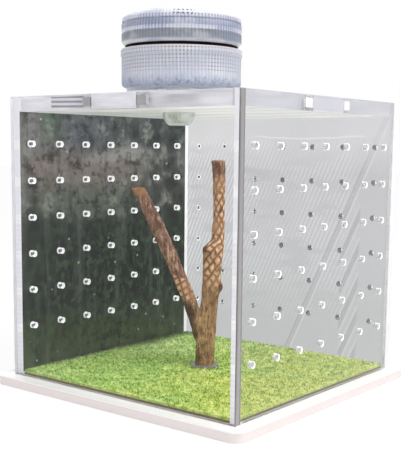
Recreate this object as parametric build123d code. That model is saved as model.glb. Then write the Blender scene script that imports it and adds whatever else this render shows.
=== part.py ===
from build123d import *

import math
import os
import random

# Spider enclosure: a clear box on a white base, with a lift-off lid and a screw-on nest jar.
# Millimetres. The origin is the centre of the base plate's underside, +Z is up, the front faces -Y.

# Clear box
BOX_WIDTH = 100.0
BOX_DEPTH = 100.0
BOX_HEIGHT = 100.0
SHEET = 3.0

# White base plate
BASE_THICKNESS = 3.4
BASE_LIP = 5.0
BASE_CORNER_RADIUS = 4.0

# Vent holes in the back and the two side panels
VENT_RADIUS = 1.1
VENT_COLUMNS = 7
VENT_ROWS = 6
VENT_SIDE_MARGIN = 9.2
VENT_TOP_MARGIN = 16.3
VENT_BOTTOM_MARGIN = 17.3

# Dark film on the outside of the left panel
FILM_THICKNESS = 0.3
FILM_HOLE_PLAY = 0.2
FILM_BOTTOM_MARGIN = 0.5

# Lift-off lid with a tab in a notch at the middle of each wall
LID_THICKNESS = 5.0
LID_PLAY = 0.3
LID_REST_GAP = 0.05
NOTCH_WIDTH = 20.0

# Block magnets beside each notch and in each tab
MAGNET_HEIGHT = 3.0
MAGNET_THICKNESS = 2.0
WALL_MAGNET_LENGTH = 4.0
LID_MAGNET_LENGTH = 2.3
MAGNET_PLAY = 0.05

# Turf mat
TURF_PLAY = 0.3
TURF_BACKING = 0.8
TURF_SLICE = 0.9
STRAND_HEIGHT = 0.7
STRAND_HEIGHT_SPREAD = 0.25
STRAND_RADIUS = 0.38
STRAND_TIP_RADIUS = 0.13
STRAND_LEAN = 0.7
STRAND_ROWS = 20
STRAND_SEED = 7

# Branch, its ring and the screw that holds it
BRANCH_X = -0.3
BRANCH_Y = 0.7
FORK_TURN = 38.3
BRANCH_DEPTH_RATIO = 0.93
TRUNK_RADIUS = 3.5
RING_BORE_PLAY = 0.3
RING_WALL = 1.5
RING_THICKNESS = 1.9
SCREW_SHANK_RADIUS = 1.2
SCREW_HEAD_RADIUS = 2.6
SCREW_HEAD_HEIGHT = 1.6
SCREW_LENGTH = 13.0
SCREW_RECESS = 0.1
SCREW_PLAY = 0.05
SCREW_SLOT_WIDTH = 0.6
SCREW_SLOT_DEPTH = 0.7

# Feed port through the lid
PORT_FROM_FRONT = 34.2
NOZZLE_RADIUS = 5.7
NOZZLE_WALL = 0.9
NOZZLE_MOUTH_RADIUS = 3.2
NOZZLE_RIM = 0.3
NOZZLE_FLANGE_RADIUS = 8.0
NOZZLE_FLANGE_THICKNESS = 1.0
NOZZLE_PLAY = 0.1
SEAT_RADIUS = 19.0
SEAT_THICKNESS = 3.0

# Screw socket, open end up
SOCKET_RADIUS = 20.7
SOCKET_HEIGHT = 13.1
SOCKET_FLOOR = 1.6
SOCKET_WALL = 1.9
SOCKET_BEAD = 0.3
SOCKET_BEAD_HEIGHT = 2.3
SOCKET_EDGE_RADIUS = 1.5

# Thread of the jar in the socket
THREAD_PITCH = 2.4
THREAD_TURNS = 2.75
THREAD_DEPTH = 1.1
THREAD_BASE_WIDTH = 1.1
THREAD_TIP_WIDTH = 0.6
THREAD_RADIAL_PLAY = 0.4
THREAD_SINK = 0.2

# Rubber gasket between the socket's rim and the jar's shoulder
GASKET_THICKNESS = 1.0
GASKET_INSET = 1.3
GASKET_PLAY = 0.1

# Nest jar, open end down
JAR_HEIGHT = 10.9
JAR_WALL = 1.8
JAR_SHOULDER = 1.7
JAR_BOTTOM_CHAMFER = 1.2
JAR_TOP_BEVEL_HEIGHT = 1.7
JAR_TOP_BEVEL_WIDTH = 3.4
NECK_WALL = 1.3
NECK_END_GAP = 0.4
AIR_HOLE_RADIUS = 0.4
AIR_HOLE_PITCH = 1.4
AIR_HOLE_ROWS = 4

# Branch stations: sideways place and height above the base plate, and width, of level sections
TRUNK_STATIONS = [
    (0.0, 0.0, 2 * TRUNK_RADIUS),
    (0.1, 6.0, 7.1),
    (0.4, 13.0, 7.2),
    (1.1, 20.0, 6.4),
    (1.7, 27.5, 6.3),
    (2.3, 31.5, 7.0),
    (2.3, 36.5, 6.6),
    (2.7, 42.5, 7.1),
    (2.9, 45.8, 7.4),
    (3.7, 47.8, 6.2),
    (4.4, 49.2, 4.8),
    (4.7, 57.0, 4.3),
    (4.7, 63.0, 4.3),
    (4.6, 71.0, 4.6),
    (4.2, 78.4, 5.0),
]
LIMB_STATIONS = [
    (-0.2, 8.0, 4.6),
    (-1.8, 14.5, 5.0),
    (-4.0, 21.0, 5.1),
    (-6.2, 27.7, 5.4),
    (-10.1, 36.5, 5.4),
    (-13.9, 45.3, 5.6),
    (-16.6, 51.0, 5.9),
    (-19.0, 56.3, 5.7),
    (-22.7, 63.7, 5.2),
    (-25.2, 68.2, 5.0),
]

# Places worked out from the sizes above
BASE_TOP = BASE_THICKNESS
BOX_TOP = BASE_TOP + BOX_HEIGHT
LID_BOTTOM = BOX_TOP - LID_THICKNESS
NOTCH_DEPTH = LID_THICKNESS + LID_REST_GAP
INNER_WIDTH = BOX_WIDTH - 2 * SHEET
INNER_DEPTH = BOX_DEPTH - 2 * SHEET
PORT_Y = PORT_FROM_FRONT - BOX_DEPTH / 2
PORT_HOLE_RADIUS = NOZZLE_RADIUS + NOZZLE_PLAY
SEAT_TOP = BOX_TOP + SEAT_THICKNESS
SOCKET_TOP = SEAT_TOP + SOCKET_HEIGHT
SOCKET_INNER_RADIUS = SOCKET_RADIUS - SOCKET_WALL
GASKET_BOTTOM = SOCKET_TOP + GASKET_PLAY
JAR_BOTTOM = GASKET_BOTTOM + GASKET_THICKNESS + GASKET_PLAY
JAR_RADIUS = SOCKET_RADIUS
JAR_TOP = JAR_BOTTOM + JAR_HEIGHT
NECK_CREST_RADIUS = SOCKET_INNER_RADIUS - THREAD_RADIAL_PLAY
NECK_RADIUS = NECK_CREST_RADIUS - THREAD_DEPTH
NECK_BORE_RADIUS = NECK_RADIUS - NECK_WALL
NECK_BOTTOM = SEAT_TOP + SOCKET_FLOOR + NECK_END_GAP
SOCKET_CREST_RADIUS = NECK_RADIUS + THREAD_RADIAL_PLAY
THREAD_HEIGHT = THREAD_PITCH * THREAD_TURNS
THREAD_START = SOCKET_TOP - THREAD_HEIGHT - THREAD_PITCH
RING_BORE_RADIUS = TRUNK_RADIUS + RING_BORE_PLAY
RING_RADIUS = RING_BORE_RADIUS + RING_WALL


def block(width, depth, height, x, y, z_bottom):
    """A box centred on x, y that stands on z_bottom."""
    return Pos(x, y, z_bottom + height / 2) * Box(width, depth, height)


def rod(radius, height, x, y, z_bottom):
    """An upright cylinder that stands on z_bottom."""
    return Pos(x, y, z_bottom + height / 2) * Cylinder(radius, height)


def turned(points):
    """The solid that a closed profile of radius and height makes about the jar's axis."""
    face = make_face(Polyline(*[(radius, 0, height) for radius, height in points], close=True))
    return Pos(0, PORT_Y, 0) * revolve(face, Axis.Z)


def save(node, shape):
    """Write one node, with each of its separate pieces as a solid."""
    solids = shape.solids()
    part = solids[0] if len(solids) == 1 else Compound(children=list(solids))
    export_step(part, os.path.join("parts", node + ".step"))


# Base plate
def base_plate():
    width = BOX_WIDTH + 2 * BASE_LIP
    depth = BOX_DEPTH + 2 * BASE_LIP
    plate = extrude(RectangleRounded(width, depth, BASE_CORNER_RADIUS), BASE_THICKNESS)
    hole = rod(SCREW_SHANK_RADIUS + SCREW_PLAY, BASE_THICKNESS, BRANCH_X, BRANCH_Y, 0)
    flare = SCREW_HEAD_HEIGHT + SCREW_RECESS
    sink = Pos(BRANCH_X, BRANCH_Y, flare / 2) * Cone(
        SCREW_HEAD_RADIUS + SCREW_PLAY + SCREW_RECESS, SCREW_SHANK_RADIUS + SCREW_PLAY, flare
    )
    return plate - hole - sink


# Wall panels
def vent_places(width):
    """Each vent hole's place along a panel and its height."""
    column_pitch = (width - 2 * VENT_SIDE_MARGIN) / (VENT_COLUMNS - 1)
    row_pitch = (BOX_HEIGHT - VENT_TOP_MARGIN - VENT_BOTTOM_MARGIN) / (VENT_ROWS - 1)
    return [
        (
            VENT_SIDE_MARGIN - width / 2 + column * column_pitch,
            BASE_TOP + VENT_BOTTOM_MARGIN + row * row_pitch,
        )
        for row in range(VENT_ROWS)
        for column in range(VENT_COLUMNS)
    ]


def vent_drills(width, radius):
    """Rods along Y through a panel that is centred on the XZ plane."""
    length = 3 * SHEET
    return [
        Pos(place, 0, height) * Rot(90, 0, 0) * Cylinder(radius, length)
        for place, height in vent_places(width)
    ]


def magnet_pair(length, end_gap, outward, play):
    """Two block magnets, or their pockets, beside or inside the ends of a notch in an XZ panel."""
    middle = NOTCH_WIDTH / 2 + outward * (end_gap + length / 2)
    return [
        block(
            length + 2 * play,
            MAGNET_THICKNESS + 2 * play,
            MAGNET_HEIGHT + 2 * play,
            side * middle,
            0,
            LID_BOTTOM + (LID_THICKNESS - MAGNET_HEIGHT) / 2 - play,
        )
        for side in (-1, 1)
    ]


def panel(length, vent_width):
    """An upright panel along X with its notch, its magnet pockets and, where asked, its vents."""
    sheet = block(length, SHEET, BOX_HEIGHT, 0, 0, BASE_TOP)
    notch = block(NOTCH_WIDTH, 2 * SHEET, NOTCH_DEPTH, 0, 0, BOX_TOP - NOTCH_DEPTH)
    cuts = [notch] + magnet_pair(WALL_MAGNET_LENGTH, MAGNET_PLAY, 1, MAGNET_PLAY)
    if vent_width:
        cuts += vent_drills(vent_width, VENT_RADIUS)
    return sheet - cuts


def front_place():
    return Pos(0, (SHEET - BOX_DEPTH) / 2, 0)


def back_place():
    return Pos(0, (BOX_DEPTH - SHEET) / 2, 0)


def left_place():
    return Pos((SHEET - BOX_WIDTH) / 2, 0, 0) * Rot(0, 0, 90)


def right_place():
    return Pos((BOX_WIDTH - SHEET) / 2, 0, 0) * Rot(0, 0, 90)


def wall_places():
    return [front_place(), back_place(), left_place(), right_place()]


def background_film():
    height = LID_BOTTOM - BASE_TOP - FILM_BOTTOM_MARGIN
    sheet = block(INNER_DEPTH, FILM_THICKNESS, height, 0, 0, BASE_TOP + FILM_BOTTOM_MARGIN)
    sheet -= vent_drills(BOX_DEPTH, VENT_RADIUS + FILM_HOLE_PLAY)
    return Pos(-(BOX_WIDTH + FILM_THICKNESS) / 2, 0, 0) * Rot(0, 0, 90) * sheet


def wall_magnets():
    pair = magnet_pair(WALL_MAGNET_LENGTH, MAGNET_PLAY, 1, 0)
    return Compound(children=[place * magnet for place in wall_places() for magnet in pair])


# Lid
def lid_magnet_pair(play):
    return magnet_pair(LID_MAGNET_LENGTH, LID_PLAY + MAGNET_PLAY, -1, play)


def lid_panel():
    middle = block(
        INNER_WIDTH - 2 * LID_PLAY, INNER_DEPTH - 2 * LID_PLAY, LID_THICKNESS, 0, 0, LID_BOTTOM
    )
    tab_width = NOTCH_WIDTH - 2 * LID_PLAY
    tabs = [
        block(BOX_WIDTH, tab_width, LID_THICKNESS, 0, 0, LID_BOTTOM),
        block(tab_width, BOX_DEPTH, LID_THICKNESS, 0, 0, LID_BOTTOM),
    ]
    pockets = [place * pocket for place in wall_places() for pocket in lid_magnet_pair(MAGNET_PLAY)]
    port = rod(PORT_HOLE_RADIUS, LID_THICKNESS, 0, PORT_Y, LID_BOTTOM)
    return middle + tabs - pockets - port


def lid_magnets():
    pair = lid_magnet_pair(0)
    return Compound(children=[place * magnet for place in wall_places() for magnet in pair])


# Feed port
def jar_seat():
    ring = rod(SEAT_RADIUS, SEAT_THICKNESS, 0, PORT_Y, BOX_TOP)
    return ring - rod(PORT_HOLE_RADIUS, SEAT_THICKNESS, 0, PORT_Y, BOX_TOP)


def feed_nozzle():
    flange_bottom = SEAT_TOP + SOCKET_FLOOR
    flange_top = flange_bottom + NOZZLE_FLANGE_THICKNESS
    inner_radius = NOZZLE_RADIUS - NOZZLE_WALL
    nose = math.sqrt(NOZZLE_RADIUS**2 - (NOZZLE_MOUTH_RADIUS + NOZZLE_RIM) ** 2)
    nose_end = LID_BOTTOM - nose
    tube = rod(NOZZLE_RADIUS, flange_bottom - LID_BOTTOM, 0, PORT_Y, LID_BOTTOM)
    tube += Pos(0, PORT_Y, LID_BOTTOM) * Sphere(NOZZLE_RADIUS)
    tube += rod(NOZZLE_FLANGE_RADIUS, NOZZLE_FLANGE_THICKNESS, 0, PORT_Y, flange_bottom)
    tube -= rod(inner_radius, flange_top - LID_BOTTOM, 0, PORT_Y, LID_BOTTOM)
    tube -= Pos(0, PORT_Y, LID_BOTTOM) * Sphere(inner_radius)
    tube -= rod(NOZZLE_MOUTH_RADIUS, nose, 0, PORT_Y, nose_end)
    below = 2 * NOZZLE_RADIUS
    return tube - block(below, below, below, 0, PORT_Y, nose_end - below)


# Thread
def thread_ridge(root_radius, crest_radius, z_start):
    """A helical ridge from just inside the root's wall to the crest."""
    into_wall = math.copysign(THREAD_SINK, root_radius - crest_radius)
    path = Helix(THREAD_PITCH, THREAD_HEIGHT, root_radius)
    start = Plane(origin=path @ 0, x_dir=(1, 0, 0), z_dir=path % 0)
    reach = crest_radius - root_radius
    profile = make_face(
        Polyline(
            (into_wall, -THREAD_BASE_WIDTH / 2),
            (into_wall, THREAD_BASE_WIDTH / 2),
            (reach, THREAD_TIP_WIDTH / 2),
            (reach, -THREAD_TIP_WIDTH / 2),
            close=True,
        )
    )
    ridge = sweep(start * profile, path=path, is_frenet=True)
    return Pos(0, PORT_Y, z_start) * ridge


# Screw socket
def jar_socket():
    bead_radius = SOCKET_RADIUS + SOCKET_BEAD
    bead_bottom = SOCKET_TOP - SOCKET_BEAD_HEIGHT
    cup = turned(
        [
            (PORT_HOLE_RADIUS, SEAT_TOP),
            (SOCKET_RADIUS - SOCKET_EDGE_RADIUS, SEAT_TOP),
            (SOCKET_RADIUS, SEAT_TOP + SOCKET_EDGE_RADIUS),
            (SOCKET_RADIUS, bead_bottom),
            (bead_radius, bead_bottom),
            (bead_radius, SOCKET_TOP),
            (SOCKET_INNER_RADIUS, SOCKET_TOP),
            (SOCKET_INNER_RADIUS, SEAT_TOP + SOCKET_FLOOR),
            (PORT_HOLE_RADIUS, SEAT_TOP + SOCKET_FLOOR),
        ]
    )
    ridge_start = THREAD_START + THREAD_PITCH / 2
    return cup + thread_ridge(SOCKET_INNER_RADIUS, SOCKET_CREST_RADIUS, ridge_start)


# Gasket
def jar_gasket():
    bottom = GASKET_BOTTOM
    ring = rod(SOCKET_RADIUS - GASKET_INSET, GASKET_THICKNESS, 0, PORT_Y, bottom)
    return ring - rod(NECK_RADIUS + GASKET_PLAY, GASKET_THICKNESS, 0, PORT_Y, bottom)


# Nest jar
def nest_jar():
    cavity_radius = JAR_RADIUS - JAR_WALL
    shell = turned(
        [
            (NECK_BORE_RADIUS, NECK_BOTTOM),
            (NECK_RADIUS, NECK_BOTTOM),
            (NECK_RADIUS, JAR_BOTTOM),
            (JAR_RADIUS - JAR_BOTTOM_CHAMFER, JAR_BOTTOM),
            (JAR_RADIUS, JAR_BOTTOM + JAR_BOTTOM_CHAMFER),
            (JAR_RADIUS, JAR_TOP - JAR_TOP_BEVEL_HEIGHT),
            (JAR_RADIUS - JAR_TOP_BEVEL_WIDTH, JAR_TOP),
            (0, JAR_TOP),
            (0, JAR_TOP - JAR_WALL),
            (cavity_radius - JAR_TOP_BEVEL_WIDTH, JAR_TOP - JAR_WALL),
            (cavity_radius, JAR_TOP - JAR_TOP_BEVEL_HEIGHT - JAR_WALL),
            (cavity_radius, JAR_BOTTOM + JAR_SHOULDER),
            (NECK_BORE_RADIUS, JAR_BOTTOM + JAR_SHOULDER),
        ]
    )
    shell += thread_ridge(NECK_RADIUS, NECK_CREST_RADIUS, THREAD_START)
    first = -(AIR_HOLE_ROWS - 1) / 2 * AIR_HOLE_PITCH
    drills = [
        rod(
            AIR_HOLE_RADIUS,
            2 * JAR_WALL,
            first + column * AIR_HOLE_PITCH,
            PORT_Y + first + row * AIR_HOLE_PITCH,
            JAR_TOP - 1.5 * JAR_WALL,
        )
        for row in range(AIR_HOLE_ROWS)
        for column in range(AIR_HOLE_ROWS)
    ]
    return shell - drills


# Turf
def turf_backing():
    mat = block(
        INNER_WIDTH - 2 * TURF_PLAY, INNER_DEPTH - 2 * TURF_PLAY, TURF_BACKING, 0, 0, BASE_TOP
    )
    return mat - rod(RING_BORE_RADIUS, TURF_BACKING, BRANCH_X, BRANCH_Y, BASE_TOP)


def strand(x, y, z, lean_x, lean_y, turn, height):
    """One three-sided blade that stands in the slice and leans at its tip."""
    foot = Pos(x, y, z) * Rot(0, 0, turn) * RegularPolygon(STRAND_RADIUS, 3)
    tip = (
        Pos(x + lean_x, y + lean_y, z + height)
        * Rot(0, 0, turn)
        * RegularPolygon(STRAND_TIP_RADIUS, 3)
    )
    return loft([foot.face(), tip.face()], ruled=True)


def turf_pile():
    chance = random.Random(STRAND_SEED)
    bottom = BASE_TOP + TURF_BACKING
    width = INNER_WIDTH - 2 * TURF_PLAY
    depth = INNER_DEPTH - 2 * TURF_PLAY
    slice_hole = RING_RADIUS + TURF_PLAY
    mat = block(width, depth, TURF_SLICE, 0, 0, bottom)
    mat -= rod(slice_hole, TURF_SLICE, BRANCH_X, BRANCH_Y, bottom)
    pitch_x = width / STRAND_ROWS
    pitch_y = depth / STRAND_ROWS
    strands = []
    for row in range(STRAND_ROWS):
        for column in range(STRAND_ROWS):
            x = (column + 0.5) * pitch_x - width / 2 + chance.uniform(-0.2, 0.2) * pitch_x
            y = (row + 0.5) * pitch_y - depth / 2 + chance.uniform(-0.2, 0.2) * pitch_y
            lean_x = chance.uniform(-STRAND_LEAN, STRAND_LEAN)
            lean_y = chance.uniform(-STRAND_LEAN, STRAND_LEAN)
            turn = chance.uniform(0, 120)
            height = TURF_SLICE / 2 + STRAND_HEIGHT + chance.uniform(-1, 1) * STRAND_HEIGHT_SPREAD
            reach = STRAND_LEAN + STRAND_RADIUS
            if math.hypot(x - BRANCH_X, y - BRANCH_Y) > slice_hole + 2 * reach:
                strands.append(
                    strand(x, y, bottom + TURF_SLICE / 2, lean_x, lean_y, turn, height)
                )
    return mat.fuse(*strands)


# Branch
def branch_place():
    return Pos(BRANCH_X, BRANCH_Y, BASE_TOP) * Rot(0, 0, FORK_TURN)


def limb(stations):
    """A round limb through level sections, in the XZ plane."""
    return loft(
        [
            (Pos(side, 0, height) * Ellipse(width / 2, BRANCH_DEPTH_RATIO * width / 2)).face()
            for side, height, width in stations
        ],
        ruled=True,
    )


def branch():
    wood = limb(TRUNK_STATIONS) + limb(LIMB_STATIONS)
    pilot_depth = SCREW_LENGTH + SCREW_RECESS - BASE_THICKNESS
    pilot = rod(SCREW_SHANK_RADIUS + SCREW_PLAY, pilot_depth + SCREW_PLAY, 0, 0, 0)
    return branch_place() * (wood - pilot)


def branch_ring():
    bottom = BASE_TOP + TURF_BACKING
    ring = rod(RING_RADIUS, RING_THICKNESS, BRANCH_X, BRANCH_Y, bottom)
    return ring - rod(RING_BORE_RADIUS, RING_THICKNESS, BRANCH_X, BRANCH_Y, bottom)


def branch_screw():
    head = Pos(0, 0, SCREW_HEAD_HEIGHT / 2) * Cone(
        SCREW_HEAD_RADIUS, SCREW_SHANK_RADIUS, SCREW_HEAD_HEIGHT
    )
    shank = rod(SCREW_SHANK_RADIUS, SCREW_LENGTH - SCREW_SHANK_RADIUS, 0, 0, 0)
    point = Pos(0, 0, SCREW_LENGTH - SCREW_SHANK_RADIUS / 2) * Cone(
        SCREW_SHANK_RADIUS, SCREW_SHANK_RADIUS / 4, SCREW_SHANK_RADIUS
    )
    slots = [
        block(2 * SCREW_SHANK_RADIUS, SCREW_SLOT_WIDTH, SCREW_SLOT_DEPTH, 0, 0, 0),
        block(SCREW_SLOT_WIDTH, 2 * SCREW_SHANK_RADIUS, SCREW_SLOT_DEPTH, 0, 0, 0),
    ]
    return Pos(BRANCH_X, BRANCH_Y, SCREW_RECESS) * (head + shank + point - slots)


NODES = {
    "base_plate": base_plate(),
    "front_panel": front_place() * panel(BOX_WIDTH, 0),
    "back_panel": back_place() * panel(BOX_WIDTH, BOX_WIDTH),
    "left_panel": left_place() * panel(INNER_DEPTH, BOX_DEPTH),
    "right_panel": right_place() * panel(INNER_DEPTH, BOX_DEPTH),
    "background_film": background_film(),
    "wall_magnets": wall_magnets(),
    "turf_backing": turf_backing(),
    "turf_pile": turf_pile(),
    "branch": branch(),
    "branch_ring": branch_ring(),
    "branch_screw": branch_screw(),
    "lid_panel": lid_panel(),
    "lid_magnets": lid_magnets(),
    "jar_seat": jar_seat(),
    "feed_nozzle": feed_nozzle(),
    "jar_socket": jar_socket(),
    "jar_gasket": jar_gasket(),
    "nest_jar": nest_jar(),
}

os.makedirs("parts", exist_ok=True)
for name, shape in NODES.items():
    save(name, shape)
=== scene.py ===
import math

import bmesh
import bpy
from mathutils import Matrix, Vector, noise


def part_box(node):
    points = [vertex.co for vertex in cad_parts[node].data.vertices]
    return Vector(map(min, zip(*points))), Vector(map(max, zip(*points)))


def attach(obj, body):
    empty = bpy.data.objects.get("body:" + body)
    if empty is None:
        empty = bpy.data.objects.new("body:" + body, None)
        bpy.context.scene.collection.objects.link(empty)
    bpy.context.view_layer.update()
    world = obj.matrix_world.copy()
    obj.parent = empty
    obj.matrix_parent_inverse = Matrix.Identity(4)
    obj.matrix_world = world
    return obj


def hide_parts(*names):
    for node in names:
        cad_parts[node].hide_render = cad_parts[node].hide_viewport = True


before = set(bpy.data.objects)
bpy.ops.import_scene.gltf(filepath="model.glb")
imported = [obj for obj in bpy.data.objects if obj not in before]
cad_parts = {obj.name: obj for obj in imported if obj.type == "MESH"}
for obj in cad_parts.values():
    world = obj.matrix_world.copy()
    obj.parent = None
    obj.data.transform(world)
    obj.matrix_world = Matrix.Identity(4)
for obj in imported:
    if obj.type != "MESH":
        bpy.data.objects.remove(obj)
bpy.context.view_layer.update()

# Lengths are in metres; MM turns a size given in millimetres into them.
MM = 0.001

# Camera, solved from the edges of the box in the photograph
IMAGE_SIZE = (401, 456)
FOCAL_PIXELS = 905.4
HORIZON_SHIFT_PIXELS = 42.0
CAMERA_PLACE = Vector((204.6, -262.6, 85.8)) * MM
CAMERA_YAW = -38.345
CAMERA_PITCH = -7.598
CAMERA_ROLL = 0.607
SENSOR = 36.0

# Light: each lamp's name, place and size in metres, and power in watts
LAMPS = [("key", (0.4, 0.02, 0.72), 0.5, 5.0), ("fill", (-0.3, -0.6, 0.4), 0.6, 0.5)]
LAMP_AIM = Vector((0, 0, 0.05))
SKY_LIGHT = 0.7
FLOOR_GLOW = 0.94
FLOOR_REACH = 3.0

# Sizes that the frame gives
FRONT_LOW, FRONT_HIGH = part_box("front_panel")
LEFT_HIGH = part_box("left_panel")[1]
RIGHT_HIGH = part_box("right_panel")[1]
BACK_LOW, BACK_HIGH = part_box("back_panel")
LID_LOW, LID_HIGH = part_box("lid_panel")
TURF_LOW, TURF_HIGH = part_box("turf_pile")
RING_LOW, RING_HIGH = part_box("branch_ring")
SEAT_LOW, SEAT_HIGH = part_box("jar_seat")
NOZZLE_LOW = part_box("feed_nozzle")[0]
SOCKET_LOW, SOCKET_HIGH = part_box("jar_socket")
GASKET_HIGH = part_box("jar_gasket")[1]
JAR_LOW, JAR_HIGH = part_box("nest_jar")
BASE_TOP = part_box("base_plate")[1].z
BOX_TOP = FRONT_HIGH.z
PORT_Y = (SEAT_LOW.y + SEAT_HIGH.y) / 2
BRANCH_FOOT = (RING_LOW + RING_HIGH) / 2

# Vent holes, with the heights of the lowest and highest row above the base plate
VENT_RADIUS = 1.1 * MM
VENT_PITCH = 13.6 * MM
VENT_HEIGHTS = (17.3 * MM, 83.7 * MM)
VENT_ROWS = 6
VENT_COLUMNS = 7
ROW_PITCH = (VENT_HEIGHTS[1] - VENT_HEIGHTS[0]) / (VENT_ROWS - 1)

# Ribs round the jar and its socket
RIB_COUNT = 108
RIB_DEPTH = 0.26 * MM
STEPS_PER_RIB = 6

# Thread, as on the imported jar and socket
THREAD_PITCH = 2.4 * MM
THREAD_TURNS = 2.75
THREAD_DEPTH = 1.1 * MM
THREAD_BASE_HALF = 0.55 * MM
THREAD_TIP_HALF = 0.3 * MM
THREAD_STEP = 0.2 * MM
THREAD_START = SOCKET_HIGH.z - THREAD_PITCH * (THREAD_TURNS + 1)

# Walls of the jar and its socket
SOCKET_WALL_RADIUS = SOCKET_HIGH.x - 0.3 * MM
SOCKET_ROOT_RADIUS = SOCKET_WALL_RADIUS - 1.9 * MM
NECK_RADIUS = SOCKET_ROOT_RADIUS - 0.4 * MM - THREAD_DEPTH
SHOULDER = GASKET_HIGH.z + 0.1 * MM
JAR_WALL = 1.8 * MM
NECK_WALL = 1.3 * MM
PORT_HOLE = 5.8 * MM

# Turf
BLADES = 18000
BLADE_HEIGHT = 0.85 * MM
BLADE_WIDTH = 0.5 * MM
MAT_THICKNESS = 0.9 * MM
TURF_SEED = 11

# Branch: its fork stands in a plane turned from the X axis; its reliefs are in millimetres
FORK_TURN = math.radians(38.3)
BARK_VOXEL = 0.3 * MM
GRAIN_RELIEF = 0.16
LUMP_RELIEF = 0.14

# Painted diagonal bands of light and shade on the back panel: each lies where x - slope * z has its
# own value
BAND_SLOPE = 0.4485
BAND_PLACE = 1.4 * MM
SHORT_BANDS_PLACE = 7.6 * MM
SHORT_BANDS_PITCH = 5.95 * MM
SHORT_BANDS_MIDDLE = 31.5 * MM
HATCH_PITCH = 1.9 * MM
ARC_HEIGHT = 91.0 * MM

# Painted dark marks on the lid's front edge, and marks on the side sheets' sawn ends
DARK_REFLECTION_PLACE = -23.0 * MM
STREAK_PLACE = 27.0 * MM
SEAM_PITCH = 1.7 * MM

# Branch marks: nets of diamonds, and knots by side, height, reach and lift in millimetres
UPRIGHT_SIDE = 4.6 * MM
SHOULDER_SIDE = 2.7 * MM
SHOULDER_HEIGHT = 51.5 * MM
BRANCH_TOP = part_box("branch")[1].z
NET_COLUMNS = 6
NET_HEIGHT = 4.3 * MM
LEAN = math.radians(-21.0)
LIMB_TOP = 71.6 * MM
PATCH_HEIGHT = 29.5 * MM
PATCH_DIAMOND = 3.1 * MM
KNOTS = [
    (5.6, 35.0, 1.5, 0.7),
    (-0.6, 49.0, 1.8, 0.5),
    (-3.8, 17.5, 1.6, 0.5),
    (-1.4, 41.0, 0.6, 0.4),
    (-17.2, 58.0, 2.2, 0.1),
    (-4.6, 25.5, 1.8, 0.2),
    (5.2, 64.0, 1.2, 0.15),
]

# Soft patches of the film: middle along it, height, half width and half height in
# millimetres, strength, colour
FILM_PATCHES = [
    (-41.0, 93.0, 9.0, 8.0, 0.8, (0.23, 0.22, 0.21)),
    (-31.0, 94.0, 6.0, 7.0, 0.8, (0.06, 0.11, 0.06)),
    (-12.0, 92.0, 13.0, 7.0, 0.8, (0.1, 0.11, 0.13)),
    (27.0, 91.0, 24.0, 9.0, 0.9, (0.035, 0.05, 0.048)),
    (-18.0, 78.0, 36.0, 7.5, 0.9, (0.24, 0.195, 0.165)),
    (10.0, 82.5, 20.0, 3.0, 0.8, (0.33, 0.32, 0.3)),
    (33.0, 71.0, 13.0, 13.0, 0.8, (0.035, 0.04, 0.037)),
    (-12.0, 65.0, 24.0, 6.0, 0.7, (0.14, 0.17, 0.12)),
    (-45.0, 66.0, 3.0, 12.0, 0.7, (0.2, 0.2, 0.19)),
    (-33.0, 69.0, 2.0, 9.0, 0.7, (0.05, 0.035, 0.025)),
    (-43.0, 50.0, 9.0, 14.0, 0.7, (0.018, 0.03, 0.018)),
]

# Air holes in the jar's bevel, painted as dark dots for the shade inside them: two short rows that
# face the front right corner
AIR_HOLE_TURN = 0.137
AIR_HOLE_COUNT = 84
AIR_HOLE_LEVEL = 0.8

# Colours, painted shade and painted glows of the clear sheets; SKIN is the depth within which a
# point is on a face
WHITE = (1.0, 1.0, 1.0)
CUT_WHITE = (0.9, 0.89, 0.9)
SIDE_TINT = (0.89, 0.89, 0.9)
# The back sheet's tint is far darker than clear acrylic: painted shade for the grey it shows
BACK_SHADE_TINT = (0.6, 0.6, 0.61)
LAMP_TINT = (0.98, 0.98, 0.98)
NO_GLOW = (0.0, 0.0, 0.0)
# Painted glows: emission on the vent hole walls, the lid's underside and a sawn end, standing in
# for light
PAINTED_HOLE_GLOW = (0.4, 0.4, 0.4)
PAINTED_UNDERSIDE_GLOW = (0.2, 0.2, 0.2)
PAINTED_END_GLOW = (0.8, 0.8, 0.8)
SKIN = 0.03 * MM


# Node trees
def operation(kind, swapped=False):
    """A method that adds a Math node of a wire and another value."""

    def apply(self, other):
        return self.math(kind, other, self) if swapped else self.math(kind, self, other)

    return apply


class Wire:
    """A socket of a node tree. Sums made with wires and numbers add Math nodes."""

    def __init__(self, tree, socket):
        self.tree = tree
        self.socket = socket

    def math(self, kind, *values):
        return self.tree.add("ShaderNodeMath", {"operation": kind}, dict(enumerate(values)))

    __add__ = operation("ADD")
    __radd__ = operation("ADD", swapped=True)
    __sub__ = operation("SUBTRACT")
    __rsub__ = operation("SUBTRACT", swapped=True)
    __mul__ = operation("MULTIPLY")
    __rmul__ = operation("MULTIPLY", swapped=True)
    __truediv__ = operation("DIVIDE")
    __pow__ = operation("POWER")
    below = operation("LESS_THAN")
    above = operation("GREATER_THAN")
    least = operation("MINIMUM")
    most = operation("MAXIMUM")

    def __abs__(self):
        return self.math("ABSOLUTE", self)

    def rounded(self):
        return self.math("ROUND", self)

    def ramp(self, low, high):
        """0 at low and 1 at high, straight between them and held outside."""
        return self.tree.add(
            "ShaderNodeMapRange",
            {"clamp": True},
            {"Value": self, "From Min": low, "From Max": high, "To Min": 0.0, "To Max": 1.0},
        )

    def span(self, low, high):
        """The same between two lengths in millimetres."""
        return self.ramp(low * MM, high * MM)

    def from_whole(self):
        """How far this is from the nearest whole number, from 0 to 0.5."""
        return abs(self - self.rounded())


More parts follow.
